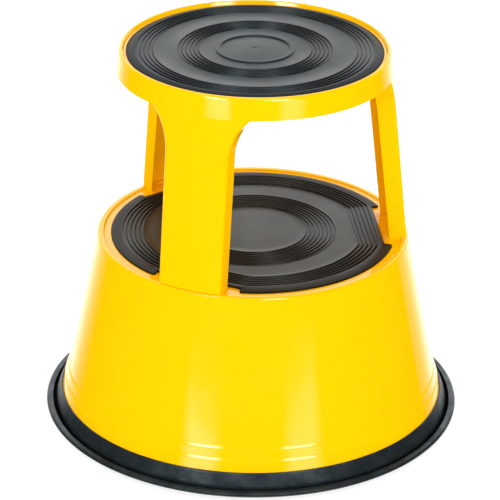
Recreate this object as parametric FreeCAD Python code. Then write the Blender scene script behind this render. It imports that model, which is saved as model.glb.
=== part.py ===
import FreeCAD, Part
import math
import os
from FreeCAD import Vector

# Kick step stool: a round two-step stool on a wide conical base.  Three casters
# inside the base carry it while it is empty.  Weight on it pushes their springs
# in until the rubber bumper ring round the base stands on the floor.
#
# Millimetres, +Z up, origin on the floor on the stool's axis, leg 1 toward -Y.

# ---- overall ----
LIFT = 5.0                            # bumper underside above the floor, stool empty
THIRDS = (270.0, 30.0, 150.0)         # directions of legs 1 to 3 and casters 1 to 3
GAPS = (90.0, 210.0, 330.0)           # directions half way between the legs
SEAT_GAP = 0.1                        # rubber kept this far off the steel it rests on
RUNNING = 0.05                        # radial clearance of parts that turn or slide

# ---- upper frame: top pan, skirt and three channel legs ----
FRAME_SHEET = 1.5
TOP_RIM_Z = 409.8 + LIFT
TOP_RIM_R = 141.5                     # where skirt and rim would meet without the round
FRAME_SLOPE = 0.13                    # the skirt widens this much per mm downward
LEG_SLOPE = 0.107                     # and the legs a little less
SKIRT_EDGE_Z = 386.4 + LIFT
TOP_DECK_Z = 405.6 + LIFT             # floor of the recess that holds the mat
TOP_LIP_IN_R = 138.2                  # inner edge of the raised rim
TOP_RECESS_R = 136.0
TOP_RECESS_ROUNDS = (2.0, 1.2)
TOP_RIM_ROUND = 3.5
LEG_HALF = 34.8                       # half the width of a leg's outer face
LEG_CORNER_R = 4.0                    # round between a leg's face and its flanges
ARCH_R = 60.0                         # round where a leg flares into the skirt
ARCH_Z = 342.0 + LIFT                 # where that flare starts
FLANGE_END_Z = 396.0 + LIFT           # the leg flanges run up behind the skirt to here
FLANGE_LOW_R = 146.8                  # free edge of the flanges at the lower deck
FLANGE_TOP_R = 125.4                  # free edge of the flanges at the skirt edge
LEG_SEAT_GAP = 0.1                    # the leg clears the lower rim by this much
LEG_TOE = 0.9                         # chamfer along the bottom of its outer face
LEG_TUCK = 0.3                        # its top lies this far inside the skirt's outer face
FOOT_WIDE = 14.0                      # foot tab, bent in from the bottom of each flange
FOOT_IN = 139.0
FOOT_OUT = 154.6
STUD_AT = (146.0, 24.5)               # weld stud, outward and sideways from the leg's line

# ---- lower shell: lower tread deck and conical base in one pressing ----
SHELL_SHEET = 1.2
LOWER_RIM_Z = 201.3 + LIFT
LOWER_RIM_R = 165.8
LOWER_RIM_ROUND = 3.0
LOWER_DECK_Z = 198.9 + LIFT
LOWER_LIP_IN_R = 159.8
LOWER_RECESS_R = 158.4
LOWER_RECESS_ROUNDS = (1.6, 1.0)      # at the top and the bottom of its wall
SHELL_SLOPE = 0.209
SWAGES_Z = (45.6 + LIFT, 33.6 + LIFT)  # tops of two small outward steps low on the cone
SWAGE_HIGH = 2.6
SWAGE_OUT = 1.1
SWAGE_ROUND = 2.2
SHELL_EDGE_Z = 6.0 + LIFT

# ---- rubber mats ----
MAT_FLAT = 1.8                        # thickness at the flats
RIB_HIGH = 0.7                        # ribs stand this far above the flats
LIP_HIGH = 0.4                        # and the outer lip this far above the ribs
RIB_LEAN = 0.7                        # end walls of a rib band lean this much per mm
GROOVE_DEEP = 0.7                     # grooves go this far below the flats
GROOVE_HALF_TOP = 1.45
GROOVE_HALF_LOW = 0.75
TOP_MAT_R = 134.2
TOP_MAT_LIP_R = 125.2                 # the lip is level from here
TOP_MAT_SLOPE_R = 127.0               # to here, then slopes down to the edge
TOP_INNER_GROOVES = (60.8, 65.2, 69.6, 74.0, 78.4)
TOP_OUTER_GROOVES = (108.5, 113.0, 117.5, 122.0)
BEAD_IN_R = 35.7
BEAD_OUT_R = 43.0
BEAD_HIGH = 1.5
LOWER_MAT_R = 151.6
LOWER_MAT_LIP_R = 140.0
LOWER_INNER_GROOVES = (59.3, 63.8, 68.3, 72.8, 77.3, 81.8, 86.3)
LOWER_OUTER_GROOVES = (119.3, 123.9, 128.5, 133.1, 137.7)
NOTCH_CHORD = 135.0                   # straight side of the cut-out in front of each leg
NOTCH_HALF = 47.6
CHORD_SHIFT = 9.5                     # ribs along that side lie this much nearer the axis
PEG_HOLE_R = 4.0
PEG_R = 3.8
PEG_HEAD_R = 5.5
PEG_TIP_R = 3.0
PEG_HEAD_LONG = 4.0
TOP_PEG_AT = 93.0
LOWER_PEG_AT = 102.0

# ---- bumper: sections are (radius, height above the underside) ----
BUMPER_BAND = 20.2                    # top of the band outside the shell
BUMPER_LIP = 16.5                     # top of the rubber inside the shell
BUMPER_FOOT = ((212.8, 7.5), (213.4, 1.6), (216.0, 1.6), (216.8, 5.3), (221.9, 5.2),
               (223.7, 4.0), (223.9, 2.2), (222.0, 0.0), (204.6, 0.0), (203.8, 5.0))
BUMPER_FOOT_ROUNDS = (1.2, 0.8, 0.8, 0.9, 1.0, 1.0, 1.2, 0.8, 1.5, 1.5)
SLOT_DEEPER = 0.4                     # the slot ends this far below the shell's edge

# ---- fixings under the lower deck ----
STUD_R = 3.0
STUD_HOLE_R = 3.3
STUD_LONG = 16.0
WASHER_R = 6.25
WASHER_THICK = 1.6
NUT_FLATS = 10.0
NUT_HIGH = 5.0
NUT_CHAMFER = 1.4

# ---- caster frame ----
ARM_HALF = 26.0
ARM_SHEET = 2.5
ARM_Z = 86.0
ARM_DEEP = 14.0
ARM_TAB_HIGH = 22.0
HUB_R = 55.0
HUB_HOLE_R = 20.0

# ---- casters ----
CASTER_AT = 150.0                     # swivel axis from the stool's axis
TRAIL = 16.0
WHEEL_R = 19.0
TYRE_HALF = 7.5
RIM_R = 16.0
AXLE_R = 3.0
CHEEK_IN = 8.5
CHEEK_OUT = 10.5
FORK_LOW = 43.0
FORK_TOP = 45.5
STEM_R = 5.0
SPIGOT_R = 4.0
PLUNGER_LOW = 47.2
PLUNGER_SHOULDER = 66.0
PLUNGER_TOP = 77.0
PLUNGER_SHANK_R = 8.0
BORE_R = 13.0
HOUSING_LOW = 58.0
HOUSING_TOP = 112.0
HOUSING_R = 16.0
CAP_THICK = 2.0
SPRING_R = 10.0                       # centre of the wire
WIRE_R = 1.1
SPRING_TURNS = 6.0


# ---- sections: points are (distance from the axis, height) pairs ----
def at(point):
    return Vector(point[0], 0, point[1])


def unit(a, b):
    length = math.hypot(b[0] - a[0], b[1] - a[1])
    return ((b[0] - a[0]) / length, (b[1] - a[1]) / length)


def rounded_path(points, radii):
    """Edges through points, each inner point rounded by its radius."""
    edges = []
    start = at(points[0])
    for before, corner, after, radius in zip(points, points[1:], points[2:], radii):
        back = Vector(*insert_y(unit(corner, before)))
        ahead = Vector(*insert_y(unit(corner, after)))
        tip = at(corner)
        if radius > 0.02:
            half = back.getAngle(ahead) / 2
            reach = radius / math.tan(half)
            inward = (back + ahead).normalize()
            centre = tip + inward * (radius / math.sin(half))
            first = tip + back * reach
            last = tip + ahead * reach
            edges.append(Part.makeLine(start, first))
            edges.append(Part.Arc(first, centre - inward * radius, last).toShape())
            start = last
        else:
            edges.append(Part.makeLine(start, tip))
            start = tip
    edges.append(Part.makeLine(start, at(points[-1])))
    return edges


def insert_y(pair):
    return (pair[0], 0, pair[1])


def shifted(points, distance):
    """The same path moved sideways, to the left of its direction."""
    moved = []
    steps = [unit(a, b) for a, b in zip(points, points[1:])]
    for index, point in enumerate(points):
        before = steps[max(index - 1, 0)]
        after = steps[min(index, len(steps) - 1)]
        bisect = (-before[1] - after[1], before[0] + after[0])
        size = math.hypot(*bisect)
        bisect = (bisect[0] / size, bisect[1] / size)
        reach = distance / (bisect[0] * -after[1] + bisect[1] * after[0])
        moved.append((point[0] + bisect[0] * reach, point[1] + bisect[1] * reach))
    return moved


def sheet_section(points, radii, thickness):
    """A bent sheet seen on edge: the path and its parallel, closed at both ends."""
    steps = [unit(a, b) for a, b in zip(points, points[1:])]
    inner_radii = []
    for before, after, radius in zip(steps, steps[1:], radii):
        left_turn = before[0] * after[1] - before[1] * after[0] > 0
        inner_radii.append(radius - thickness if left_turn else radius + thickness)
    inner = shifted(points, thickness)
    edges = rounded_path(points, radii) + rounded_path(inner, inner_radii)
    edges.append(Part.makeLine(at(points[0]), at(inner[0])))
    edges.append(Part.makeLine(at(points[-1]), at(inner[-1])))
    return Part.Face(Part.Wire(Part.__sortEdges__(edges)))


def closed_section(points, radii=None):
    if radii is None:
        return Part.Face(Part.makePolygon([at(p) for p in points + points[:1]]))
    edges = rounded_path(points + points[:1], radii)
    return Part.Face(Part.Wire(Part.__sortEdges__(edges)))


def spin(face):
    solid = face.revolve(Vector(0, 0, 0), Vector(0, 0, 1), 360)
    return outward(solid)


def outward(shape):
    solid = Part.Solid(shape.Shells[0]) if shape.ShapeType != "Solid" else shape
    if solid.Volume < 0:
        solid.reverse()
    return solid


# ---- solids used again and again ----
def cylinder(radius, low, high, x=0.0, y=0.0):
    return Part.makeCylinder(radius, high - low, Vector(x, y, low))


def ring(inner, outer, low, high, x=0.0, y=0.0):
    return cylinder(outer, low, high, x, y).cut(cylinder(inner, low, high, x, y))


def frustum(radius_at, low, high):
    return Part.makeCone(radius_at(low), radius_at(high), high - low, Vector(0, 0, low))


def block(x, y, z):
    """A box from its lowest and highest x, y and z."""
    return Part.makeBox(x[1] - x[0], y[1] - y[0], z[1] - z[0], Vector(x[0], y[0], z[0]))


def turned(shape, degrees):
    copy = shape.copy()
    copy.rotate(Vector(0, 0, 0), Vector(0, 0, 1), degrees)
    return copy


def polar(distance, degrees, sideways=0.0):
    """A point by distance and direction, moved sideways from that direction."""
    angle = math.radians(degrees)
    x = distance * math.cos(angle) - sideways * math.sin(angle)
    y = distance * math.sin(angle) + sideways * math.cos(angle)
    return (x, y)


def frame_radius(z):
    return TOP_RIM_R + (TOP_RIM_Z - z) * FRAME_SLOPE


def leg_radius(z):
    return frame_radius(SKIRT_EDGE_Z) + (SKIRT_EDGE_Z - z) * LEG_SLOPE


def leg_inner_radius(z):
    return leg_radius(z) - FRAME_SHEET * math.hypot(1, LEG_SLOPE)


def flange_edge_radius(z):
    slope = (FLANGE_LOW_R - FLANGE_TOP_R) / (SKIRT_EDGE_Z - LOWER_DECK_Z)
    return FLANGE_LOW_R - (z - LOWER_DECK_Z) * slope


# ---- upper frame ----
def leg_outline(inset):
    """A leg's front view, carried outward as a solid; radial direction is +X."""
    half = LEG_HALF - inset
    radius = ARCH_R + inset
    centre_y = LEG_HALF + ARCH_R
    low = LOWER_DECK_Z - 5
    rise = FLANGE_END_Z - ARCH_Z
    spread = centre_y - math.sqrt(radius ** 2 - rise ** 2)
    angle = math.asin(rise / radius) / 2
    edges = []
    for side in (1, -1):
        foot = Vector(0, side * half, low)
        knee = Vector(0, side * half, ARCH_Z)
        middle = Vector(
            0,
            side * (centre_y - radius * math.cos(angle)),
            ARCH_Z + radius * math.sin(angle),
        )
        head = Vector(0, side * spread, FLANGE_END_Z)
        edges.append(Part.makeLine(foot, knee))
        edges.append(Part.Arc(knee, middle, head).toShape())
    edges.append(Part.makeLine(Vector(0, -half, low), Vector(0, half, low)))
    edges.append(Part.makeLine(Vector(0, -spread, FLANGE_END_Z), Vector(0, spread, FLANGE_END_Z)))
    face = Part.Face(Part.Wire(Part.__sortEdges__(edges)))
    return face.extrude(Vector(250, 0, 0))


def rounded_corners(solid, radius_at, round_r):
    """Round the two long edges where a leg's sides meet its outer face."""
    chosen = []
    for edge in solid.Edges:
        first, last = edge.ParameterRange
        points = [edge.valueAt(first + (last - first) * t) for t in (0.1, 0.5, 0.9)]
        on_face = all(abs(math.hypot(p.x, p.y) - radius_at(p.z)) < 0.01 for p in points)
        if on_face and abs(points[0].z - points[2].z) > 5:
            chosen.append(edge)
    return solid.makeFillet(round_r, chosen)


def channel_leg():
    """One leg along +X: curved outer face, two flanges and a foot tab on each."""
    low = LOWER_DECK_Z - 6
    high = FLANGE_END_Z + 1
    outer = leg_outline(0).common(
        frustum(leg_radius, low, high).cut(frustum(flange_edge_radius, low, high)))
    inner = leg_outline(FRAME_SHEET).common(
        frustum(leg_inner_radius, low, high).cut(cylinder(60, low, high)))
    outer = rounded_corners(outer, leg_radius, LEG_CORNER_R)
    inner = rounded_corners(inner, leg_inner_radius, LEG_CORNER_R - FRAME_SHEET)
    leg = outer.cut(inner)
    for side in (1, -1):
        edge = side * (LEG_HALF - FRAME_SHEET / 2)
        end = side * (LEG_HALF - FRAME_SHEET - FOOT_WIDE)
        tab = block((FOOT_IN, FOOT_OUT), sorted((edge, end)),
                    (LOWER_DECK_Z, LOWER_DECK_Z + FRAME_SHEET))
        leg = leg.fuse(tab)
    behind_skirt = cylinder(250, SKIRT_EDGE_Z, high).cut(
        frustum(lambda z: frame_radius(z) - LEG_TUCK, SKIRT_EDGE_Z, high))
    toe_r = leg_radius(LOWER_RIM_Z)
    toe = spin(closed_section([
        (toe_r - LEG_TOE, LOWER_RIM_Z - LEG_TOE), (toe_r + LEG_TOE, LOWER_RIM_Z - LEG_TOE),
        (toe_r + LEG_TOE, LOWER_RIM_Z + 2 * LEG_TOE), (toe_r - LEG_TOE, LOWER_RIM_Z)]))
    return leg.cut(behind_skirt).cut(leg_seat(low - 1)).cut(toe)


def leg_seat(low):
    """What the legs stand on: the lower tread's deck and rim, and all below them."""
    gap = LEG_SEAT_GAP
    return spin(closed_section(
        [(0, low), (LOWER_RIM_R + gap + (LOWER_RIM_Z - low) * SHELL_SLOPE, low),
         (LOWER_RIM_R + gap, LOWER_RIM_Z + gap), (LOWER_LIP_IN_R - gap, LOWER_RIM_Z + gap),
         (LOWER_RECESS_R - gap, LOWER_DECK_Z), (0, LOWER_DECK_Z)],
        [0, LOWER_RIM_ROUND, *LOWER_RECESS_ROUNDS, 0]))


def make_upper_frame():
    pan = spin(sheet_section(
        [(frame_radius(SKIRT_EDGE_Z), SKIRT_EDGE_Z), (TOP_RIM_R, TOP_RIM_Z),
         (TOP_LIP_IN_R, TOP_RIM_Z), (TOP_RECESS_R, TOP_DECK_Z), (0, TOP_DECK_Z)],
        [TOP_RIM_ROUND, *TOP_RECESS_ROUNDS], FRAME_SHEET))
    for direction in GAPS:
        x, y = polar(TOP_PEG_AT, direction)
        pan = pan.cut(cylinder(PEG_HOLE_R, TOP_DECK_Z - 5, TOP_DECK_Z + 5, x, y))
    leg = channel_leg()
    frame = pan
    for direction in THIRDS:
        frame = frame.fuse(turned(leg, direction))
    return frame.removeSplitter()


# ---- lower shell ----
def cone_radius(z, steps=0):
    """The cone's outside, below the given number of swaged steps."""
    return LOWER_RIM_R + (LOWER_RIM_Z - z) * SHELL_SLOPE + steps * SWAGE_OUT


def shell_profile():
    points = [(LOWER_RECESS_R, LOWER_DECK_Z), (LOWER_LIP_IN_R, LOWER_RIM_Z),
              (LOWER_RIM_R, LOWER_RIM_Z)]
    for steps, z in enumerate(SWAGES_Z):
        points += [(cone_radius(z, steps), z),
                   (cone_radius(z - SWAGE_HIGH, steps + 1), z - SWAGE_HIGH)]
    points.append((cone_radius(SHELL_EDGE_Z, len(SWAGES_Z)), SHELL_EDGE_Z))
    return points[::-1] + [(0, LOWER_DECK_Z)]


def stud_places():
    for direction in THIRDS:
        for side in (1, -1):
            yield polar(STUD_AT[0], direction, side * STUD_AT[1])


def make_lower_shell():
    radii = [SWAGE_ROUND] * 2 * len(SWAGES_Z) + [LOWER_RIM_ROUND, *LOWER_RECESS_ROUNDS]
    shell = spin(sheet_section(shell_profile(), radii, SHELL_SHEET))
    holes = [(STUD_HOLE_R, place) for place in stud_places()]
    holes += [(PEG_HOLE_R, polar(LOWER_PEG_AT, direction)) for direction in GAPS]
    for radius, (x, y) in holes:
        shell = shell.cut(cylinder(radius, LOWER_DECK_Z - 5, LOWER_DECK_Z + 5, x, y))
    return shell


def make_studs():
    return [cylinder(STUD_R, LOWER_DECK_Z - STUD_LONG, LOWER_DECK_Z, x, y)
            for x, y in stud_places()]


def make_washers():
    top = LOWER_DECK_Z - SHELL_SHEET
    return [ring(STUD_R + 0.2, WASHER_R, top - WASHER_THICK, top, x, y)
            for x, y in stud_places()]


def make_nuts():
    top = LOWER_DECK_Z - SHELL_SHEET - WASHER_THICK
    corner_r = NUT_FLATS / math.sqrt(3)
    nuts = []
    for x, y in stud_places():
        corners = [Vector(x + corner_r * math.cos(math.radians(60 * k)),
                          y + corner_r * math.sin(math.radians(60 * k)),
                          top - NUT_HIGH) for k in range(7)]
        hexagon = Part.Face(Part.makePolygon(corners)).extrude(Vector(0, 0, NUT_HIGH))
        low = top - NUT_HIGH
        crown = Part.makeCone(corner_r - NUT_CHAMFER, corner_r, NUT_CHAMFER, Vector(x, y, low))
        crown = crown.fuse(cylinder(corner_r, low + NUT_CHAMFER, top, x, y))
        bore = cylinder(STUD_R + RUNNING, top - NUT_HIGH - 1, top + 1, x, y)
        nuts.append(hexagon.common(crown).cut(bore))
    return nuts


# ---- rubber mats ----
def peg(place, deck_z, sheet):
    """A moulded peg: neck through the sheet, tapered head below it."""
    x, y = place
    under = deck_z - sheet - SEAT_GAP
    neck = cylinder(PEG_R, under - 0.5, deck_z + 1.0, x, y)
    shoulder = under - 1.0
    tip = under - PEG_HEAD_LONG
    head = Part.makeCone(PEG_TIP_R, PEG_HEAD_R, shoulder - tip, Vector(x, y, tip))
    return neck.fuse(head).fuse(cylinder(PEG_HEAD_R, shoulder, under, x, y))


def round_groove(radius, flat_z):
    """The ring-shaped cut of one groove, wider at the top."""
    high = flat_z + RIB_HIGH + 0.5
    low = flat_z - GROOVE_DEEP
    flare = (GROOVE_HALF_TOP - GROOVE_HALF_LOW) / (RIB_HIGH + GROOVE_DEEP)
    top_half = GROOVE_HALF_LOW + flare * (high - low)
    return spin(closed_section([
        (radius - GROOVE_HALF_LOW, low), (radius + GROOVE_HALF_LOW, low),
        (radius + top_half, high), (radius - top_half, high)]))


def rib_band_edges(grooves):
    """Where a band of ribs starts and ends: half a rib beyond its outer grooves."""
    return (grooves[0] - GROOVE_HALF_TOP - 0.9, grooves[-1] + GROOVE_HALF_TOP + 0.9)


def make_top_mat():
    base = TOP_DECK_Z + SEAT_GAP
    flat = base + MAT_FLAT
    rib = flat + RIB_HIGH
    inner = rib_band_edges(TOP_INNER_GROOVES)
    outer = rib_band_edges(TOP_OUTER_GROOVES)
    crown_r = BEAD_IN_R - 1.2
    points = [(0, base), (TOP_MAT_R, base), (TOP_MAT_R, base + 0.6),
              (TOP_MAT_SLOPE_R, rib + LIP_HIGH), (TOP_MAT_LIP_R, rib + LIP_HIGH),
              (outer[0] + 0.5, rib), (outer[0], flat),
              (inner[1], flat), (inner[1] - 0.5, rib),
              (inner[0] + 0.5, rib), (inner[0], flat),
              (BEAD_OUT_R, flat), (BEAD_OUT_R - 2.8, flat + BEAD_HIGH),
              (BEAD_IN_R + 1.6, flat + BEAD_HIGH), (crown_r + 0.6, flat),
              (crown_r, flat), (0, flat + 0.9)]
    radii = [0, 0.4, 0.8, 1.0, 0.2, 0.2, 0.2, 0.2, 0.2, 0.2, 1.0, 0.9, 0.9, 0.3, 0.2]
    mat = spin(closed_section(points, radii))
    for radius in TOP_INNER_GROOVES + TOP_OUTER_GROOVES:
        mat = mat.cut(round_groove(radius, flat))
    gate = Part.makeSphere(2.6, Vector(0, 0, flat + 0.9 + 1.9))
    mat = mat.cut(gate)
    for direction in GAPS:
        mat = mat.fuse(peg(polar(TOP_PEG_AT, direction), TOP_DECK_Z, FRAME_SHEET))
    return mat


def notched_prism(radius, chord, low, high, flare):
    """A disc with a straight side toward each leg; its wall leans out by flare."""
    tall = high - low
    disc = Part.makeCone(radius, radius + flare * tall, tall, Vector(0, 0, low))
    for direction in THIRDS:
        side = Part.Face(Part.makePolygon([
            Vector(chord, -300, low), Vector(chord + 300, -300, low),
            Vector(chord + 300, -300, high), Vector(chord + flare * tall, -300, high),
            Vector(chord, -300, low)])).extrude(Vector(0, 600, 0))
        disc = disc.cut(turned(side, direction))
    return disc


def notched_groove(radius, flat_z):
    """One groove of the outer band: round, but straight along each leg's cut-out."""
    high = flat_z + RIB_HIGH + 0.9
    low = flat_z - GROOVE_DEEP
    flare = (GROOVE_HALF_TOP - GROOVE_HALF_LOW) / (RIB_HIGH + GROOVE_DEEP)
    chord = radius - CHORD_SHIFT
    outside = notched_prism(radius + GROOVE_HALF_LOW, chord + GROOVE_HALF_LOW, low, high, flare)
    inside = notched_prism(radius - GROOVE_HALF_LOW, chord - GROOVE_HALF_LOW, low, high, -flare)
    return outside.cut(inside)


def make_lower_mat():
    base = LOWER_DECK_Z + SEAT_GAP
    flat = base + MAT_FLAT
    rib = flat + RIB_HIGH
    lip = rib + LIP_HIGH
    inner = rib_band_edges(LOWER_INNER_GROOVES)
    outer = rib_band_edges(LOWER_OUTER_GROOVES)
    mat = spin(closed_section(
        [(0, base), (LOWER_MAT_R, base), (LOWER_MAT_R, rib - 0.5),
         (LOWER_MAT_R - 1.8, rib + 0.2), (LOWER_MAT_LIP_R, lip), (0, lip)],
        [0, 0, 0.9, 2.0, 0]))
    mat = mat.cut(notched_prism(outer[0], outer[0] - CHORD_SHIFT, flat, lip + 1, RIB_LEAN))
    band = spin(closed_section(
        [(inner[0], base + 0.9), (inner[1], base + 0.9), (inner[1], flat), (inner[1] - 0.5, rib),
         (inner[0] + 0.5, rib), (inner[0], flat)], [0, 0, 0.2, 0.2, 0]))
    mat = mat.fuse(band)
    for direction in THIRDS:
        notch = block((NOTCH_CHORD, 200), (-NOTCH_HALF, NOTCH_HALF), (base - 1, lip + 1))
        mat = mat.cut(turned(notch, direction))
    for radius in LOWER_INNER_GROOVES:
        mat = mat.cut(round_groove(radius, flat))
    for radius in LOWER_OUTER_GROOVES:
        mat = mat.cut(notched_groove(radius, flat))
    for direction in GAPS:
        mat = mat.fuse(peg(polar(LOWER_PEG_AT, direction), LOWER_DECK_Z, SHELL_SHEET))
    return mat


# ---- bumper ----
def make_bumper():
    """Rubber ring with a slot that grips the shell's lower edge."""
    profile = shell_profile()
    edge_r = profile[0][0]
    lean = math.hypot(1, SHELL_SLOPE)
    outer_gap = SEAT_GAP * lean
    inner_gap = (SHELL_SHEET + SEAT_GAP) * lean

    def wall(z, offset):
        return (edge_r - (z - SHELL_EDGE_Z) * SHELL_SLOPE + offset, z)

    floor = SHELL_EDGE_Z - SLOT_DEEPER
    band_z = LIFT + BUMPER_BAND
    lip_z = LIFT + BUMPER_LIP
    foot = [(radius, LIFT + high) for radius, high in BUMPER_FOOT]
    points = [wall(floor, outer_gap), wall(band_z - 0.6, outer_gap), wall(band_z, outer_gap + 0.3),
              wall(band_z - 0.2, outer_gap + 1.3), wall(band_z - 2.0, outer_gap + 1.8), *foot,
              wall(lip_z - 2.0, -inner_gap - 2.6), wall(lip_z, -inner_gap - 1.2),
              wall(lip_z, -inner_gap), wall(floor, -inner_gap)]
    radii = [0, 0.2, 0.3, 1.0, *BUMPER_FOOT_ROUNDS, 1.5, 0.6, 0.2, 0]
    return spin(closed_section(points, radii))


# ---- caster frame: three-arm pressing welded inside the cone ----
def shell_inner_radius(z):
    return cone_radius(z) - SHELL_SHEET * math.hypot(1, SHELL_SLOPE)


def arm_prism(inset, low, high):
    shape = cylinder(HUB_R - inset, low, high)
    for direction in THIRDS:
        arm = block((0, 230), (-ARM_HALF + inset, ARM_HALF - inset), (low, high))
        shape = shape.fuse(turned(arm, direction))
    return shape


def make_caster_frame():
    low = ARM_Z - ARM_DEEP
    high = ARM_Z + ARM_SHEET

    def reach(z):
        return shell_inner_radius(z) - RUNNING

    def tab_back(z):
        return reach(z) - ARM_SHEET

    tray = arm_prism(0, low, high).cut(arm_prism(ARM_SHEET, low - 1, ARM_Z))
    tray = tray.common(frustum(reach, low, high))
    tab_top = low + ARM_TAB_HIGH
    tabs = frustum(reach, low, tab_top).cut(frustum(tab_back, low - 1, tab_top + 1))
    tabs = tabs.common(arm_prism(0, low, tab_top))
    body = tray.fuse(tabs).cut(cylinder(HUB_HOLE_R, low - 1, high + 1))
    for direction in THIRDS:
        x, y = polar(CASTER_AT, direction)
        body = body.cut(cylinder(HOUSING_R + RUNNING, low - 1, high + 1, x, y))
    return body.removeSplitter()


# ---- one caster, about its own swivel axis; the wheel trails toward +X ----
def make_housing():
    """Steel cup, open below, with a counterbore and a groove for the snap ring."""
    cup = cylinder(HOUSING_R, HOUSING_LOW, HOUSING_TOP)
    cup = cup.makeFillet(2.0, [e for e in cup.Edges if abs(e.BoundBox.ZMin - HOUSING_TOP) < 0.01
                               and abs(e.BoundBox.ZMax - HOUSING_TOP) < 0.01])
    cup = cup.cut(cylinder(BORE_R, HOUSING_LOW - 1, HOUSING_TOP - CAP_THICK))
    cup = cup.cut(cylinder(BORE_R + 0.8, HOUSING_LOW - 1, PLUNGER_SHOULDER))
    groove_top = PLUNGER_SHOULDER - 2.0
    cup = cup.cut(cylinder(BORE_R + 1.7, groove_top - 1.7, groove_top))
    return cup.cut(cylinder(2.5, HOUSING_TOP - 3, HOUSING_TOP + 1))


def make_guide_washer():
    return ring(PLUNGER_SHANK_R + RUNNING, BORE_R + 0.7, PLUNGER_SHOULDER - 2.0, PLUNGER_SHOULDER)


def make_snap_ring():
    top = PLUNGER_SHOULDER - 2.0
    clip = ring(BORE_R - 1.4, BORE_R + 1.6, top - 1.6, top)
    return clip.cut(block((0, 20), (-3, 3), (top - 2, top + 1)))


def make_spring():
    low = PLUNGER_TOP + RUNNING + WIRE_R
    high = HOUSING_TOP - CAP_THICK - RUNNING - WIRE_R
    helix = Part.makeHelix((high - low) / SPRING_TURNS, high - low, SPRING_R)
    helix.translate(Vector(0, 0, low))
    start = helix.Edges[0]
    tangent = start.tangentAt(start.FirstParameter)
    wire = Part.Wire(Part.makeCircle(WIRE_R, start.valueAt(start.FirstParameter), tangent))
    return Part.Wire(helix.Edges).makePipeShell([wire], True, True)


def make_plunger():
    body = cylinder(PLUNGER_SHANK_R, PLUNGER_LOW, PLUNGER_TOP)
    body = body.fuse(cylinder(BORE_R - RUNNING, PLUNGER_SHOULDER, PLUNGER_TOP))
    body = body.cut(cylinder(STEM_R + RUNNING, PLUNGER_LOW - 1, PLUNGER_TOP + 1))
    return body.cut(cylinder(PLUNGER_SHANK_R, PLUNGER_TOP - 3.1, PLUNGER_TOP + 1))


def make_stem():
    """Headed swivel pin, riveted over under the fork's top plate."""
    stem = cylinder(STEM_R, FORK_TOP + RUNNING, PLUNGER_TOP - 3.0)
    stem = stem.fuse(cylinder(STEM_R + 2.5, PLUNGER_TOP - 3.05, PLUNGER_TOP - 0.6))
    stem = stem.fuse(cylinder(SPIGOT_R - RUNNING, FORK_LOW - 1, FORK_TOP + 1))
    return stem.fuse(cylinder(SPIGOT_R + 2.2, FORK_LOW - 2.2, FORK_LOW - RUNNING))


def make_swivel_washer():
    return ring(STEM_R + RUNNING, PLUNGER_SHANK_R + 2, FORK_TOP + RUNNING, PLUNGER_LOW - RUNNING)


def tangent_point(point, centre, radius, turn):
    distance = math.hypot(point[0] - centre[0], point[1] - centre[1])
    base = math.atan2(point[1] - centre[1], point[0] - centre[0])
    angle = base + turn * math.acos(radius / distance)
    return (centre[0] + radius * math.cos(angle), centre[1] + radius * math.sin(angle))


def make_fork():
    """Folded steel fork: a top plate with a cheek down each side of the wheel."""
    axle = (TRAIL, WHEEL_R)
    boss_r = 8.0
    back_low = (-13.0, FORK_LOW - 5)
    back_top = (-13.0, FORK_TOP)
    front_top = (18.0, FORK_TOP)
    right = tangent_point(front_top, axle, boss_r, -1)
    left = tangent_point(back_low, axle, boss_r, 1)
    bottom = (TRAIL, WHEEL_R - boss_r)
    edges = [Part.makeLine(at(back_low), at(back_top)),
             Part.makeLine(at(back_top), at(front_top)),
             Part.makeLine(at(front_top), at(right)),
             Part.Arc(at(right), at(bottom), at(left)).toShape(),
             Part.makeLine(at(left), at(back_low))]
    face = Part.Face(Part.Wire(Part.__sortEdges__(edges)))
    face.translate(Vector(0, -CHEEK_OUT, 0))
    fork = face.extrude(Vector(0, 2 * CHEEK_OUT, 0))
    bends = [e for e in fork.Edges if abs(e.BoundBox.ZMin - FORK_TOP) < 0.01
             and e.BoundBox.XLength > 20]
    fork = fork.makeFillet(2.5, bends)
    fork = fork.cut(block((-30, 50), (-CHEEK_IN, CHEEK_IN), (0, FORK_LOW)))
    fork = fork.cut(cylinder(SPIGOT_R, 0, FORK_TOP + 5))
    hole = Part.makeCylinder(AXLE_R + RUNNING, 60, Vector(TRAIL, -30, WHEEL_R), Vector(0, 1, 0))
    return fork.cut(hole)


def along_axle(radius, low, high):
    return Part.makeCylinder(radius, high - low, Vector(TRAIL, low, WHEEL_R), Vector(0, 1, 0))


def make_axle():
    axle = along_axle(AXLE_R, -CHEEK_OUT - 1, CHEEK_OUT + 1)
    for side in (1, -1):
        low, high = sorted((side * (CHEEK_OUT + RUNNING), side * (CHEEK_OUT + 2.2)))
        axle = axle.fuse(along_axle(AXLE_R + 2.4, low, high))
    return axle


def make_wheel_hub():
    boss = along_axle(6.5, -8.0, 8.0)
    rim = along_axle(RIM_R, -7.0, 7.0)
    for low, high in ((2.0, 8.0), (-8.0, -2.0)):
        rim = rim.cut(along_axle(RIM_R - 3.0, low, high))
    return rim.fuse(boss).cut(along_axle(AXLE_R + RUNNING, -9, 9))


def make_tyre():
    tread = along_axle(WHEEL_R, -TYRE_HALF, TYRE_HALF)
    tread = tread.makeFillet(1.8, [e for e in tread.Edges if e.Curve.TypeId == "Part::GeomCircle"])
    return tread.cut(along_axle(RIM_R + RUNNING, -TYRE_HALF - 1, TYRE_HALF + 1))


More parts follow.
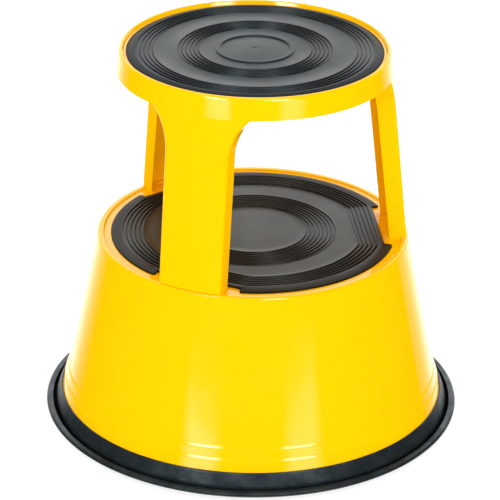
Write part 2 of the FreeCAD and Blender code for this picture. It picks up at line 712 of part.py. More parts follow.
CASTER_PARTS = {
    "caster_housing": make_housing,
    "caster_guide_washer": make_guide_washer,
    "caster_snap_ring": make_snap_ring,
    "caster_spring": make_spring,
    "caster_plunger": make_plunger,
    "caster_swivel_washer": make_swivel_washer,
    "caster_stem": make_stem,
    "caster_fork": make_fork,
    "caster_axle": make_axle,
    "caster_wheel_hub": make_wheel_hub,
    "caster_tyre": make_tyre,
}


def place_caster(shape, direction):
    """Stand a caster part under its arm, trailing at right angles to the arm."""
    x, y = polar(CASTER_AT, direction)
    copy = turned(shape, direction + 90)
    copy.translate(Vector(x, y, 0))
    return copy


def export(name, solids):
    solids = solids if isinstance(solids, list) else [solids]
    flat = [solid for shape in solids for solid in shape.Solids]
    shape = flat[0] if len(flat) == 1 else Part.makeCompound(flat)
    shape.exportStep("parts/" + name + ".step")
    volume = sum(solid.Volume for solid in flat)
    print(name, "solids", len(flat), "valid", shape.isValid(), "volume", round(volume))


os.makedirs("parts", exist_ok=True)
export("upper_frame", make_upper_frame())
export("lower_shell", make_lower_shell())
export("top_tread_mat", make_top_mat())
export("lower_tread_mat", make_lower_mat())
export("base_bumper", make_bumper())
export("leg_weld_studs", make_studs())
export("leg_washers", make_washers())
export("leg_nuts", make_nuts())
export("caster_frame", make_caster_frame())
for base_name, maker in CASTER_PARTS.items():
    piece = maker()
    for number, direction in enumerate(THIRDS, start=1):
        export(base_name + "_" + str(number), place_caster(piece, direction))
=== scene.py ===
import math

import bmesh
import bpy
import numpy as np
from mathutils import Matrix, Vector


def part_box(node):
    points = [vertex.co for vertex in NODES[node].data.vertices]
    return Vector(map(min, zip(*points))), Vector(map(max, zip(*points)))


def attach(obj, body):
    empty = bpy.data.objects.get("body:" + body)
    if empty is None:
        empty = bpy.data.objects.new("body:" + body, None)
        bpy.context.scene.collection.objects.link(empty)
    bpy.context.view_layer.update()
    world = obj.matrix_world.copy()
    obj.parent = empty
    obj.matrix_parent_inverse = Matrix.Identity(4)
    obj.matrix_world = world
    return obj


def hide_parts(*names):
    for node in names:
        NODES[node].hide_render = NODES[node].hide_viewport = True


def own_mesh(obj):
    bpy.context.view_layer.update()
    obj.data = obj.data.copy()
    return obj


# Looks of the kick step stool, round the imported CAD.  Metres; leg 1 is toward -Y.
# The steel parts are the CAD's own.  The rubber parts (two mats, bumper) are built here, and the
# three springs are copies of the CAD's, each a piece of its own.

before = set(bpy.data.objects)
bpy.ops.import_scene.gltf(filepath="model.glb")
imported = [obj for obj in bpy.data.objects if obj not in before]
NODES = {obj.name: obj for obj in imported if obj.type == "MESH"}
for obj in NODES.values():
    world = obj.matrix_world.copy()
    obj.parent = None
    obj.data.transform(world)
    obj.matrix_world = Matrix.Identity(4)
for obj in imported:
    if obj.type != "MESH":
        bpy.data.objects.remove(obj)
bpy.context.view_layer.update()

MM = 0.001
LEGS = (270.0, 30.0, 150.0)           # directions of the three legs, degrees
GAPS = (90.0, 210.0, 330.0)           # directions half way between them


# ---------------------------------------------------------------- mesh helpers
def add_mesh(name, verts, faces, sharp_angle=40.0):
    """A smooth-shaded mesh in millimetres, with edges sharper than sharp_angle kept crisp."""
    mesh = bpy.data.meshes.new(name)
    mesh.from_pydata([tuple(v) for v in np.asarray(verts, float) * MM], [], faces)
    mesh.validate()
    mesh.polygons.foreach_set("use_smooth", [True] * len(mesh.polygons))
    mesh.set_sharp_from_angle(angle=math.radians(sharp_angle))
    mesh.update()
    obj = bpy.data.objects.new(name, mesh)
    bpy.context.scene.collection.objects.link(obj)
    return obj


def rounded_path(points, radii, steps=5):
    """The path with each inner corner replaced by an arc of its radius, as a list of points."""
    path = [np.array(points[0], float)]
    for before, corner, after, radius in zip(points, points[1:], points[2:], radii):
        before, corner, after = (np.array(p, float) for p in (before, corner, after))
        back = (before - corner) / np.linalg.norm(before - corner)
        ahead = (after - corner) / np.linalg.norm(after - corner)
        half = math.acos(np.clip(back @ ahead, -1, 1)) / 2
        if radius < 0.02 or half > math.radians(89.5):
            path.append(corner)
            continue
        reach = radius / math.tan(half)
        inward = (back + ahead) / np.linalg.norm(back + ahead)
        centre = corner + inward * radius / math.sin(half)
        first = corner + back * reach - centre
        last = corner + ahead * reach - centre
        sweep = math.pi - 2 * half
        for k in range(steps + 1):
            t = k / steps
            weight = math.sin((1 - t) * sweep), math.sin(t * sweep)
            path.append(centre + (first * weight[0] + last * weight[1]) / math.sin(sweep))
    path.append(np.array(points[-1], float))
    return path


def ring_faces(rings, around):
    """Quads that join each ring of vertices to the next one out."""
    faces = []
    for ring in range(rings - 1):
        low = ring * around
        for k in range(around):
            after = (k + 1) % around
            faces.append((low + k, low + around + k, low + around + after, low + after))
    return faces


def lathe(profile, around=288, centre=(0.0, 0.0)):
    """Vertices and faces of a turned solid.  The profile starts and ends on the axis, or is a
    closed loop clear of it."""
    closed = profile[0][0] > 1e-6
    on_axis = [] if closed else [profile[0], profile[-1]]
    body = profile if closed else profile[1:-1]
    angle = np.linspace(0, 2 * math.pi, around, endpoint=False)
    verts = [(centre[0] + r * math.cos(a), centre[1] + r * math.sin(a), z)
             for r, z in body for a in angle]
    faces = ring_faces(len(body), around)
    last = (len(body) - 1) * around
    if closed:
        faces += [(last + k, k, (k + 1) % around, last + (k + 1) % around) for k in range(around)]
    else:
        for point, ring, flip in ((on_axis[0], 0, False), (on_axis[1], last, True)):
            tip = len(verts)
            verts.append((centre[0], centre[1], point[1]))
            for k in range(around):
                pair = (ring + k, ring + (k + 1) % around)
                faces.append((tip,) + (pair[::-1] if flip else pair))
    return verts, faces


def join_parts(parts):
    """One list of vertices and one of faces, from several (vertices, faces) pairs."""
    verts, faces = [], []
    for part_verts, part_faces in parts:
        base = len(verts)
        verts += list(part_verts)
        faces += [tuple(base + i for i in face) for face in part_faces]
    return verts, faces


def outward(obj):
    """Turn every closed island's faces to the outside."""
    work = bmesh.new()
    work.from_mesh(obj.data)
    bmesh.ops.recalc_face_normals(work, faces=work.faces)
    work.to_mesh(obj.data)
    work.free()
    return obj


# ---------------------------------------------------------------- rubber mats
MAT_FLAT = 1.8                        # thickness of the flats
RIB_HIGH = 0.7                        # ribs above the flats
LIP_HIGH = 0.4                        # outer lip above the ribs
GROOVE_DEEP = 0.7                     # grooves below the flats
GROOVE_HALF = 2.15                    # half a groove's width at the ribs' top
BEAD_HIGH = 1.5                       # the top mat's central ring
CROWN_HIGH = 0.9                      # the dome inside that ring
CROWN_R = 34.5
TOP_INNER_GROOVES = (60.8, 65.2, 69.6, 74.0, 78.4)
TOP_OUTER_GROOVES = (108.5, 113.0, 117.5, 122.0)
LOWER_INNER_GROOVES = tuple(59.3 + 4.5 * k for k in range(7))
LOWER_OUTER_GROOVES = tuple(119.3 + 4.6 * k for k in range(5))
LOWER_MAT_R = 151.6
NOTCH_CHORD = 135.0                   # from the axis to the mat's edge at a leg
NOTCH_HALF = 47.6
EAR_ROUND = 3.0
NOTCH_ROUND = 1.0
BAND_CHORD = 9.5                      # how far the outer ribs flatten toward a leg
EDGE_ROUND = 0.6
SEAT_GAP = 0.1
TOP_SHEET = 1.5
SHELL_SHEET = 1.2
TOP_PEGS_R = 93.0
LOWER_PEGS_R = 102.0
SIXTY = math.radians(60)              # half of each leg's share of the circle


def groove_points(at, top, low):
    """One groove of a rib band: steep walls with a rounded floor and rounded rib corners."""
    half = [(1.35, low), (1.5, low + 0.05), (1.61, low + 0.22), (1.73, top - 0.5),
            (1.82, top - 0.22), (1.96, top - 0.06), (GROOVE_HALF, top)]
    return [(at - r, z) for r, z in half[::-1]] + [(at + r, z) for r, z in half]


def rib_band(grooves, flat, top, low):
    """A band of ribs from its inner flat to its outer flat, as (radius, height) points."""
    points = [(grooves[0] - 2.5, flat), (grooves[0] - 2.39, flat + 0.06),
              (grooves[0] - 2.28, top - 0.12), (grooves[0] - 2.2, top)]
    for at in grooves:
        points += groove_points(at, top, low)
    points += [(grooves[-1] + 2.2, top), (grooves[-1] + 2.28, top - 0.12),
               (grooves[-1] + 2.39, flat + 0.06), (grooves[-1] + 2.5, flat)]
    return points


def peg(direction, distance, under, deck):
    """A moulded peg that holds the mat down: neck through the deck, tapered head below it."""
    x = distance * math.cos(math.radians(direction))
    y = distance * math.sin(math.radians(direction))
    profile = rounded_path(
        [(0, under - 4.0), (3.0, under - 4.0), (5.5, under - 1.0), (5.5, under), (3.8, under),
         (3.8, deck + 0.6), (0, deck + 0.6)], [0.8, 0.6, 0.3, 0.2, 0], 4)
    return lathe(profile, 40, (x, y))


def build_top_mat():
    high_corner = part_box("top_tread_mat")[1]
    flat = high_corner.z / MM - BEAD_HIGH
    base = flat - MAT_FLAT
    rib = flat + RIB_HIGH
    floor = flat - GROOVE_DEEP
    rim_r = high_corner.x / MM
    bead = rounded_path(
        [(33.9, flat), (35.4, flat), (36.7, flat + BEAD_HIGH), (40.6, flat + BEAD_HIGH),
         (42.4, flat), (44.5, flat)], [0.3, 1.1, 1.1, 0.3], 6)
    dimple = [(0, flat + 0.35), (1.2, flat + 0.4), (2.1, flat + 0.62), (2.6, flat + 0.82),
              (3.2, flat + CROWN_HIGH)]
    crown = [(r, flat + CROWN_HIGH * (1 - (r / CROWN_R) ** 2))
             for r in (8, 14, 20, 25, 29, 32, 33.4)]
    lip = rounded_path(
        [(TOP_OUTER_GROOVES[-1] + GROOVE_HALF, rib), (125.2, rib + LIP_HIGH),
         (127.0, rib + LIP_HIGH - 0.02), (rim_r, base + 0.6), (rim_r, base), (rim_r - 2, base)],
        [0.6, 0.8, 0.4, 0.15], 5)
    inner_band = rib_band(TOP_INNER_GROOVES, flat, rib, floor)
    outer_band = rib_band(TOP_OUTER_GROOVES, flat, rib, floor)[:-4]     # the lip follows it
    profile = dimple + crown + bead + inner_band + outer_band + lip[1:] + [(0, base)]
    parts = [lathe(profile, 360)]
    under = base - SEAT_GAP - TOP_SHEET - SEAT_GAP
    parts += [peg(d, TOP_PEGS_R, under, base) for d in GAPS]
    return outward(add_mesh("top_mat", *join_parts(parts), sharp_angle=50))


ARC, EAR, SIDE, BEND, CHORD = 32, 6, 5, 4, 30     # vertices in each stretch of half a sector


def sector_path(stretches):
    """Half a sector: each (points, count) stretch as count evenly spaced points."""
    half = []
    for points, count in stretches:
        points = np.array(points)
        step = np.linalg.norm(np.diff(points, axis=0), axis=1)
        along = np.concatenate([[0], np.cumsum(step)])
        at = np.linspace(0, along[-1], count, endpoint=False)
        half += [(np.interp(t, along, points[:, 0]), np.interp(t, along, points[:, 1]))
                 for t in at]
    return half


def arc(radius, first, last, centre=(0.0, 0.0), steps=64):
    """Points round a centre, from one angle to another."""
    angle = np.linspace(first, last, steps)
    return [(centre[0] + radius * math.cos(a), centre[1] + radius * math.sin(a)) for a in angle]


def all_sectors(half, end):
    """The half sector mirrored about its leg's direction, then turned to all three legs.
    half runs from the middle of a chord out to 60 degrees; end is its last point."""
    sector = [(u, -v) for u, v in [end] + half[:0:-1]] + half
    ring = []
    for direction in LEGS:
        a = math.radians(direction)
        ring += [(u * math.cos(a) - v * math.sin(a), u * math.sin(a) + v * math.cos(a))
                 for u, v in sector]
    return ring


def contour(radius, chord):
    """A circle flattened toward each leg by a chord at that distance from the axis."""
    if chord >= radius:
        corner = math.radians(22)
        front = arc(radius, 0, corner)
    else:
        corner = math.acos(chord / radius)
        front = [(chord, 0), (chord, radius * math.sin(corner))]
    later = corner + math.radians(3.6)
    half = sector_path([(front, CHORD), (arc(radius, corner, later), BEND + SIDE + EAR),
                        (arc(radius, later, SIXTY), ARC)])
    return all_sectors(half, (radius * math.cos(SIXTY), radius * math.sin(SIXTY)))


def outline(inset):
    """The mat's own edge, moved inward by inset: notches for the legs, with rounded ears."""
    radius = LOWER_MAT_R - inset
    chord = NOTCH_CHORD - inset
    width = NOTCH_HALF + inset
    ear = max(EAR_ROUND - inset, 0.3)
    bend = NOTCH_ROUND + inset
    centre = (math.sqrt((radius - ear) ** 2 - (width + ear) ** 2), width + ear)
    leave = math.atan2(centre[1], centre[0])
    half = sector_path([
        ([(chord, 0), (chord, width - bend)], CHORD),
        (arc(bend, math.pi, math.pi / 2, (chord + bend, width - bend), 12), BEND),
        ([(chord + bend, width), (centre[0], width)], SIDE),
        (arc(ear, -math.pi / 2, leave, centre, 16), EAR),
        (arc(radius, leave, SIXTY), ARC)])
    return all_sectors(half, (radius * math.cos(SIXTY), radius * math.sin(SIXTY)))


def build_lower_mat():
    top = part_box("lower_tread_mat")[1].z / MM
    rib = top - LIP_HIGH
    flat = rib - RIB_HIGH
    base = flat - MAT_FLAT
    floor = flat - GROOVE_DEEP

    def lip_height(x, y):
        """The lip is highest just outside the ribs and falls away to the mat's edge."""
        return float(np.interp(math.hypot(x, y), [140.0, 141.5, 151.0, LOWER_MAT_R],
                               [top - 0.1, top, rib - 0.7, rib - 1.0]))

    rings = []
    middle = [(16.0, flat), (34.0, flat), (48.0, flat)]
    for radius, z in middle + rib_band(LOWER_INNER_GROOVES, flat, rib, floor):
        rings.append([(x, y, z) for x, y in contour(radius, radius + 1)])
    band = rib_band(LOWER_OUTER_GROOVES, flat, top, floor)[:-4]         # the lip follows it
    round_r = 88.8                    # the last full circle, between the two bands
    for t in (0.12, 0.4, 0.7):
        radius = round_r + (band[0][0] - round_r) * t
        chord = round_r + (band[0][0] - BAND_CHORD - round_r) * t
        rings.append([(x, y, flat) for x, y in contour(radius, chord)])
    for radius, z in band:
        rings.append([(x, y, z) for x, y in contour(radius, radius - BAND_CHORD)])
    for inset in (3.4, 2.4, 1.5, 0.9, 0.6, 0.4, 0.22, 0.1, 0.03, 0.0):
        level = EDGE_ROUND - min(inset, EDGE_ROUND)
        drop = EDGE_ROUND - math.sqrt(EDGE_ROUND ** 2 - level ** 2)
        rings.append([(x, y, lip_height(x, y) - drop) for x, y in outline(inset)])
    rings.append([(x, y, base + 0.15) for x, y in outline(0.0)])
    rings.append([(x, y, base) for x, y in outline(0.15)])
    around = len(rings[0])
    verts = [v for ring in rings for v in ring]
    faces = ring_faces(len(rings), around)
    centre = len(verts)
    verts.append((0, 0, flat))
    faces += [(centre, k, (k + 1) % around) for k in range(around)]
    last = (len(rings) - 1) * around
    faces.append(tuple(range(last, last + around)))
    under = base - SEAT_GAP - SHELL_SHEET - SEAT_GAP
    parts = [(verts, faces)] + [peg(d, LOWER_PEGS_R, under, base) for d in GAPS]
    return outward(add_mesh("lower_mat", *join_parts(parts), sharp_angle=50))


# ---------------------------------------------------------------- bumper
SHELL_SLOPE = 0.209
SHELL_EDGE = 6.0                      # heights from here on are above the bumper's underside
SLOT_FLOOR = 5.6
BAND_TOP = 20.2
INNER_TOP = 16.5
GROOVE_OUT_R = 216.4                  # outer side of the groove between band and lip
FOOT = ((212.8, 7.5), (213.4, 1.6), (216.0, 1.6), (216.8, 5.3), (221.9, 5.2),
        (223.7, 4.0), (223.9, 2.2), (222.0, 0.0), (204.6, 0.0), (203.8, 5.0))
FOOT_ROUNDS = (1.2, 0.8, 0.8, 0.9, 1.0, 1.0, 1.2, 0.8, 1.5, 1.5)


def build_bumper():
    """The rubber ring's section, with a softer top edge than the CAD, turned round the axis."""
    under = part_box("base_bumper")[0].z / MM
    shell_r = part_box("lower_shell")[1].x / MM
    lean = math.hypot(1, SHELL_SLOPE)
    outer_gap = SEAT_GAP * lean
    inner_gap = (SHELL_SHEET + SEAT_GAP) * lean

    def wall(high, offset):
        return (shell_r - (high - SHELL_EDGE) * SHELL_SLOPE + offset, high)

    points = [wall(SLOT_FLOOR, outer_gap), wall(BAND_TOP - 0.6, outer_gap),
              wall(BAND_TOP, outer_gap + 0.3), wall(BAND_TOP - 0.2, outer_gap + 1.3),
              wall(BAND_TOP - 2.0, outer_gap + 1.8), *FOOT,
              wall(INNER_TOP - 2.0, -inner_gap - 2.6), wall(INNER_TOP, -inner_gap - 1.2),
              wall(INNER_TOP, -inner_gap), wall(SLOT_FLOOR, -inner_gap)]
    radii = [0, 0.2, 0.6, 1.6, *FOOT_ROUNDS, 1.5, 0.6, 0.2, 0]
    profile = [(radius, under + high) for radius, high in rounded_path(points, radii, 6)]
    return outward(add_mesh("bumper", *lathe(profile, 360), sharp_angle=60))


# ---------------------------------------------------------------- materials
class Tree:
    """Short names for the few shader nodes used below."""

    def __init__(self, name):
        self.material = bpy.data.materials.new(name)
        self.material.use_nodes = True
        self.tree = self.material.node_tree
        self.bsdf = self.tree.nodes["Principled BSDF"]
        self.place = self.tree.nodes.new("ShaderNodeTexCoord").outputs["Object"]

    def node(self, kind, **inputs):
        made = self.tree.nodes.new(kind)
        for key, value in inputs.items():
            target = made.inputs[key.replace("_", " ")]
            self.put(target, value)
        return made

    def put(self, target, value):
        if isinstance(value, bpy.types.NodeSocket):
            self.tree.links.new(value, target)
        else:
            target.default_value = value

    def set(self, **inputs):
        for key, value in inputs.items():
            self.put(self.bsdf.inputs[key.replace("_", " ")], value)

    def noise(self, scale, detail=3.0, rough=0.5, seed=0.0):
        made = self.tree.nodes.new("ShaderNodeTexNoise")
        made.noise_dimensions = "4D"
        self.put(made.inputs["Vector"], self.place)
        self.put(made.inputs["W"], seed)
        self.put(made.inputs["Scale"], scale)
        self.put(made.inputs["Detail"], detail)
        self.put(made.inputs["Roughness"], rough)
        return made.outputs["Fac"]

    def remap(self, value, low, high, to_low, to_high):
        made = self.tree.nodes.new("ShaderNodeMapRange")
        made.interpolation_type = "SMOOTHSTEP"
        for key, v in (("Value", value), ("From Min", low), ("From Max", high),
                       ("To Min", to_low), ("To Max", to_high)):
            self.put(made.inputs[key], v)
        return made.outputs["Result"]

    def math(self, operation, a, b=0.0):
        made = self.tree.nodes.new("ShaderNodeMath")
        made.operation = operation
        self.put(made.inputs[0], a)
        self.put(made.inputs[1], b)
        return made.outputs[0]

    def mix(self, factor, a, b):
        made = self.tree.nodes.new("ShaderNodeMix")
        made.data_type = "RGBA"
        self.put(made.inputs["Factor"], factor)
        self.put(made.inputs[6], a)
        self.put(made.inputs[7], b)
        return made.outputs[2]

    def bump(self, height, strength, distance, after=None):
        made = self.tree.nodes.new("ShaderNodeBump")
        self.put(made.inputs["Height"], height)
        self.put(made.inputs["Strength"], strength)
        self.put(made.inputs["Distance"], distance)
        if after is not None:
            self.put(made.inputs["Normal"], after)
        return made.outputs["Normal"]


def rgb(r, g, b):
    return (r, g, b, 1.0)


def powder_coat(name, bright, deep):
    """Gloss powder coat: faint orange peel, slow colour drift and fine darker specks."""
    t = Tree(name)
    drift = t.noise(9.0, 2.0, 0.5, 1.0)
    colour = t.mix(t.remap(drift, 0.3, 0.7, 0.0, 0.35), rgb(*bright), rgb(*deep))
    speck = t.noise(1900.0, 2.0, 0.6, 4.0)
    colour = t.mix(t.remap(speck, 0.72, 0.82, 0.0, 0.25), colour, rgb(*deep))
    peel = t.noise(420.0, 2.0, 0.45, 2.0)
    fine = t.noise(1500.0, 1.0, 0.5, 3.0)
    height = t.math("ADD", t.math("MULTIPLY", peel, 0.8), t.math("MULTIPLY", fine, 0.2))
    rough = t.remap(t.noise(26.0, 3.0, 0.55, 5.0), 0.3, 0.7, 0.05, 0.08)
    t.set(Base_Color=colour, Roughness=rough, Specular_IOR_Level=0.5,
          Normal=t.bump(height, 0.045, 0.00025))
    return t.material


def rubber(name, dark, dusty, rough, grain, shine=0.5, tint=(0.81, 1.0, 1.06), painted_groove_shade=None,
           within=None, lip=None):
    """Moulded rubber: fine grain, patchy sheen and a little dust.  hollow is a pair of heights
    between which the colour goes from black, painted shade for the grooves, to its full colour,
    only inside the radius `within` if one is given; then the reflection is also dimmed there and
    blotchy.  Outside the radius `lip` the surface is duller."""
    t = Tree(name)
    patch = t.noise(22.0, 4.0, 0.6, 7.0)
    colour = t.mix(t.remap(patch, 0.35, 0.75, 0.0, 0.5), rgb(*dark), rgb(*dusty))
    speck = t.noise(900.0, 2.0, 0.6, 8.0)
    colour = t.mix(t.remap(speck, 0.66, 0.8, 0.0, 0.4), colour, rgb(*dusty))
    if painted_groove_shade is not None:
        split = t.node("ShaderNodeSeparateXYZ", Vector=t.place)
        squares = [t.math("POWER", t.math("ABSOLUTE", split.outputs[axis]), 2.0) for axis in "XY"]
        radius = t.math("SQRT", t.math("ADD", *squares))
        # Painted shade for the grooves: 0 (black) at the lower height, 1 at the upper.
        clear_of_painted_shade = t.remap(split.outputs["Z"], painted_groove_shade[0] * MM, painted_groove_shade[1] * MM, 0.0, 1.0)
        if within is not None:
            outside = t.remap(radius, within * MM, (within + 0.8) * MM, 0.0, 1.0)
            clear_of_painted_shade = t.math("MAXIMUM", clear_of_painted_shade, outside)
            blotch = t.remap(t.noise(48.0, 4.0, 0.6, 15.0), 0.36, 0.66, 0.6, 2.2)
            shine = t.math("MULTIPLY", t.math("MULTIPLY", clear_of_painted_shade, blotch), shine)
        if lip is not None:
            worn = t.remap(radius, (lip - 0.6) * MM, lip * MM, 1.0, 0.3)
            shine = t.math("MULTIPLY", worn, shine)
        # Painted shade: the colour goes to black where the mask above is 0.
        colour = t.mix(clear_of_painted_shade, rgb(0.003, 0.003, 0.003), colour)
    grain_noise = t.noise(grain, 3.0, 0.6, 9.0)
    sheen = t.remap(t.noise(14.0, 4.0, 0.6, 10.0), 0.3, 0.7, rough - 0.05, rough + 0.05)
    t.set(Base_Color=colour, Roughness=sheen, Specular_IOR_Level=shine,
          Specular_Tint=rgb(*tint), Normal=t.bump(grain_noise, 0.12, 0.0003))
    return t.material


def bare_metal(name, tone, dull, rough, scale=160.0):
    """Plated or bare steel: spangle-like tone changes and slight fine scratching."""
    t = Tree(name)
    cloud = t.noise(scale, 4.0, 0.6, 11.0)
    colour = t.mix(t.remap(cloud, 0.3, 0.7, 0.0, 1.0), rgb(*tone), rgb(*dull))
    fine = t.noise(scale * 14, 2.0, 0.5, 12.0)
    roughness = t.remap(fine, 0.3, 0.7, rough - 0.07, rough + 0.07)
    t.set(Base_Color=colour, Metallic=1.0, Roughness=roughness,
          Normal=t.bump(fine, 0.06, 0.0001))
    return t.material


def moulded(name, light, shade, rough, metallic=0.0):
    """Moulded plastic or plain paint: slow tone drift and a fine matt texture."""
    t = Tree(name)
    cloud = t.noise(60.0, 3.0, 0.5, 13.0)
    colour = t.mix(t.remap(cloud, 0.3, 0.7, 0.0, 1.0), rgb(*light), rgb(*shade))
    fine = t.noise(1600.0, 2.0, 0.5, 14.0)
    roughness = t.remap(cloud, 0.3, 0.7, rough - 0.05, rough + 0.05)
    t.set(Base_Color=colour, Roughness=roughness, Metallic=metallic,
          Normal=t.bump(fine, 0.08, 0.0002))
    return t.material


BUMPER_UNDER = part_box("base_bumper")[0].z / MM
FINISH = {
    "yellow_powder_coat": powder_coat("yellow_powder_coat", (0.96, 0.49, 0.0), (0.95, 0.47, 0.0)),
    "black_mat_rubber": rubber("black_mat_rubber", (0.009, 0.012, 0.013),
                               (0.020, 0.023, 0.024), 0.38, 2600.0),
    # The bumper's crevice gets painted shade: black up to 2 mm above the underside, fading out by
    # 6.4 mm, inside the groove's outer radius, with its reflection dimmed too.
    "bumper_rubber": rubber("bumper_rubber", (0.010, 0.014, 0.016), (0.024, 0.030, 0.034),
                            0.36, 1800.0, 0.26, painted_groove_shade=(BUMPER_UNDER + 2.0, BUMPER_UNDER + 6.4),
                            within=GROOVE_OUT_R),
    "zinc_steel": bare_metal("zinc_steel", (0.62, 0.63, 0.64), (0.46, 0.48, 0.50), 0.36),
    "black_painted_steel": moulded("black_painted_steel", (0.022, 0.022, 0.023),
                                   (0.034, 0.034, 0.035), 0.42),
    "spring_steel": bare_metal("spring_steel", (0.34, 0.34, 0.35), (0.22, 0.22, 0.23), 0.38),
    "turned_steel": bare_metal("turned_steel", (0.60, 0.60, 0.60), (0.45, 0.45, 0.46), 0.28),
    "nylon": moulded("nylon", (0.74, 0.72, 0.66), (0.66, 0.64, 0.58), 0.42),
    "caster_rubber": rubber("caster_rubber", (0.055, 0.056, 0.058),
                            (0.085, 0.085, 0.085), 0.55, 1500.0),
}


def paint(obj, material):
    obj.data.materials.clear()
    obj.data.materials.append(material)


# ---------------------------------------------------------------- pieces
for obj in NODES.values():
    slot_name = obj.data.materials[0].name.split(".")[0]
    paint(obj, FINISH[slot_name])

TOP_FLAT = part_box("top_tread_mat")[1].z / MM - BEAD_HIGH
LOWER_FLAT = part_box("lower_tread_mat")[1].z / MM - LIP_HIGH - RIB_HIGH
# Both mats get painted shade in their grooves: black colour at the groove floors, fading in up to
# just above the flats.
TOP_RUBBER = rubber("top_mat_rubber", (0.009, 0.012, 0.013), (0.020, 0.023, 0.024), 0.38, 2600.0,
                    0.31, painted_groove_shade=(TOP_FLAT - GROOVE_DEEP, TOP_FLAT + 0.1), lip=124.5)
# The lower mat is the same rubber as the top one; its warmer brown colour and yellowish reflection
# tint are painted bounce light from the yellow paint round it.
LOWER_RUBBER_YELLOW_BOUNCE = rubber("lower_mat_rubber_yellow_bounce", (0.012, 0.011, 0.009), (0.026, 0.022, 0.018), 0.38,
                      2600.0, 0.31, (0.96, 1.0, 0.86), (LOWER_FLAT - GROOVE_DEEP, LOWER_FLAT + 0.1),
                      lip=141.0)

for piece, node, slot_name, finish in (
        (build_top_mat(), "top_tread_mat", "black_mat_rubber", TOP_RUBBER),
        (build_lower_mat(), "lower_tread_mat", "black_mat_rubber", LOWER_RUBBER_YELLOW_BOUNCE),
        (build_bumper(), "base_bumper", "bumper_rubber", FINISH["bumper_rubber"])):
    paint(piece, finish)
    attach(piece, "stool_body")
    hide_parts(node)


def shortening_spring(number):
    """A caster's spring as a piece of its own, a copy of the CAD's, attached to the stool body."""
    node = NODES[f"caster_spring_{number}"]
    spring = bpy.data.objects.new(f"spring_{number}", node.data.copy())
    bpy.context.scene.collection.objects.link(spring)
    spring.matrix_world = node.matrix_world
    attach(spring, "stool_body")
    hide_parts(node.name)
    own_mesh(spring)


bpy.context.view_layer.update()
for caster in (1, 2, 3):
    shortening_spring(caster)


# ---------------------------------------------------------------- camera
def photo_camera():
    """The reference view: a long lens looking down at 25 degrees, leg 1 left of centre."""
    azimuth = math.radians(23.75)
    elevation = math.radians(24.973)
    target = Vector((0, 0, 0.2096))
    distance = 2.9546
    focal_px = 2764.36                # for an image 500 wide
    data = bpy.data.cameras.new("camera")
    data.sensor_width = 36.0
    data.lens = focal_px / 500 * data.sensor_width
    data.clip_end = 50.0
    camera = bpy.data.objects.new("camera", data)
    bpy.context.scene.collection.objects.link(camera)
    back = Vector((math.sin(azimuth) * math.cos(elevation),
                   -math.cos(azimuth) * math.cos(elevation), math.sin(elevation)))
    facing = back.to_track_quat("Z", "Y").to_matrix()
    roll = Matrix.Rotation(math.radians(0.70), 3, "Z")
    aim_left = Matrix.Rotation(math.atan(2.97 / focal_px), 3, "Y")
    aim_low = Matrix.Rotation(-math.atan(23.9 / focal_px), 3, "X")
    turn = facing @ roll @ aim_left @ aim_low
    camera.matrix_world = Matrix.Translation(target + back * distance) @ turn.to_4x4()
    bpy.context.scene.camera = camera
    return azimuth


# ---------------------------------------------------------------- light and floor
FLOOR_R = 6000
FLOOR_SIDES = 96
# Windows are (dark below, full from, full to, dark above), in degrees
LEFT_BOX_SIDE = (-42, -34, -23.5, -16.5)
RIGHT_BOX_SIDE = (18, 26, 36, 44)
RIGHT_BOX_SHARE = 0.75
LOW_PART = (-9.6, -8.0, -6.45, -5.85)
LOW_STRENGTH = 3.2
FAINT_PART = (-6.45, -5.85, -5.7, -5.3)
FAINT_STRENGTH = 1.2
HIGH_PART = (20, 27, 50, 60)
HIGH_STRENGTH = 16.0
BACKDROP_STRENGTH = 1.7
DARK_FRONT = 0.005
EVEN_LIGHT = 1.0
FRONT_EXTRA = 1.75


def build_floor():
    """A pale disc that glows a little, and is clear when seen from below."""
    turn = [2 * math.pi * k / FLOOR_SIDES for k in range(FLOOR_SIDES)]
    verts = [(0, 0, 0)] + [(FLOOR_R * math.cos(a), FLOOR_R * math.sin(a), 0) for a in turn]
    faces = [(0, 1 + k, 1 + (k + 1) % FLOOR_SIDES) for k in range(FLOOR_SIDES)]
    floor = add_mesh("floor", verts, faces)
    t = Tree("floor")
    cloud = t.noise(3.0, 2.0, 0.5, 20.0)
    colour = t.mix(cloud, rgb(0.36, 0.36, 0.36), rgb(0.38, 0.38, 0.38))
    t.set(Base_Color=colour, Roughness=0.9, Emission_Color=rgb(1, 1, 1), Emission_Strength=0.78)
    side = t.tree.nodes.new("ShaderNodeNewGeometry").outputs["Backfacing"]
    clear = t.tree.nodes.new("ShaderNodeBsdfTransparent").outputs[0]
    one_sided = t.tree.nodes.new("ShaderNodeMixShader")
    for socket, value in zip(one_sided.inputs, (side, t.bsdf.outputs[0], clear)):
        t.put(socket, value)
    t.put(t.tree.nodes["Material Output"].inputs["Surface"], one_sided.outputs[0])
    paint(floor, t.material)
    floor.visible_glossy = False


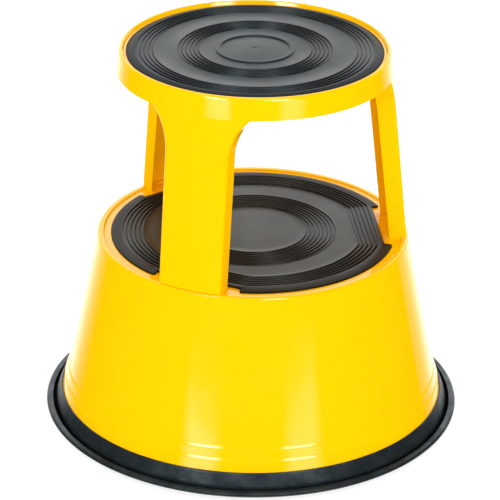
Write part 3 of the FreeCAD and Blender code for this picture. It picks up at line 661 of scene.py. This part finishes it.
def build_world(azimuth):
    """White studio.  Mirror-like rays see a dimmer front with two upright softboxes in it."""
    world = bpy.data.worlds.new("studio")
    bpy.context.scene.world = world
    world.use_nodes = True
    world.cycles.sampling_method = "NONE"   # so that every ray knows what kind it is
    tree = world.node_tree
    tree.nodes.clear()
    new = tree.nodes.new
    link = tree.links.new

    def number(operation, a, b=0.0):
        made = new("ShaderNodeMath")
        made.operation = operation
        for socket, value in zip(made.inputs, (a, b)):
            if isinstance(value, bpy.types.NodeSocket):
                link(value, socket)
            else:
                socket.default_value = value
        return made.outputs[0]

    def dot(vector, fixed):
        made = new("ShaderNodeVectorMath")
        made.operation = "DOT_PRODUCT"
        link(vector, made.inputs[0])
        made.inputs[1].default_value = fixed
        return made.outputs["Value"]

    def ramp(value, low, high, to_low=0.0, to_high=1.0):
        made = new("ShaderNodeMapRange")
        made.interpolation_type = "SMOOTHSTEP"
        link(value, made.inputs["Value"])
        for key, v in (("From Min", low), ("From Max", high),
                       ("To Min", to_low), ("To Max", to_high)):
            made.inputs[key].default_value = v
        return made.outputs["Result"]

    def window(value, a, b, c, d):
        """0 below a, 1 from b to c, 0 above d."""
        return number("MULTIPLY", ramp(value, a, b), ramp(value, c, d, 1.0, 0.0))

    direction = new("ShaderNodeTexCoord").outputs["Generated"]
    front = dot(direction, (math.sin(azimuth), -math.cos(azimuth), 0))
    right = dot(direction, (math.cos(azimuth), math.sin(azimuth), 0))
    up = dot(direction, (0, 0, 1))
    side_angle = number("MULTIPLY", number("ARCTAN2", right, front), 180 / math.pi)
    lift_angle = number("MULTIPLY", number("ARCSINE", up), 180 / math.pi)

    def product(a, b):
        return number("MULTIPLY", a, b)

    def choose(by, chosen, otherwise):
        """`chosen` where `by` is 1, `otherwise` where it is 0."""
        return number("ADD", product(by, number("SUBTRACT", chosen, otherwise)), otherwise)

    left_box = window(side_angle, *LEFT_BOX_SIDE)
    right_box = window(side_angle, *RIGHT_BOX_SIDE)
    low_part = product(window(lift_angle, *LOW_PART), LOW_STRENGTH)
    faint_part = product(window(lift_angle, *FAINT_PART), FAINT_STRENGTH)
    high_part = product(window(lift_angle, *HIGH_PART), HIGH_STRENGTH)
    both_boxes = number("ADD", left_box, product(right_box, RIGHT_BOX_SHARE))
    boxes = number("ADD", product(right_box, faint_part),
                   product(both_boxes, number("ADD", low_part, high_part)))

    away = ramp(number("ABSOLUTE", side_angle), 121, 158)       # toward the white backdrop
    high = ramp(lift_angle, 50, 90, 0.0, 0.5)
    backdrop = product(number("MAXIMUM", away, high), BACKDROP_STRENGTH)
    mirror = number("ADD", number("ADD", DARK_FRONT, backdrop), boxes)
    front_share = number("POWER", number("ABSOLUTE", front), 2.0)
    even = number("ADD", EVEN_LIGHT, product(front_share, FRONT_EXTRA))

    path = new("ShaderNodeLightPath")
    seen = choose(path.outputs["Is Glossy Ray"], mirror, even)
    seen = choose(path.outputs["Is Camera Ray"], 1.0, seen)
    background = new("ShaderNodeBackground")
    background.inputs["Color"].default_value = (1, 1, 1, 1)
    link(seen, background.inputs["Strength"])
    output = new("ShaderNodeOutputWorld")
    link(background.outputs[0], output.inputs["Surface"])


build_floor()
build_world(photo_camera())
bpy.context.scene.view_settings.view_transform = "Standard"
bpy.context.scene.view_settings.look = "None"
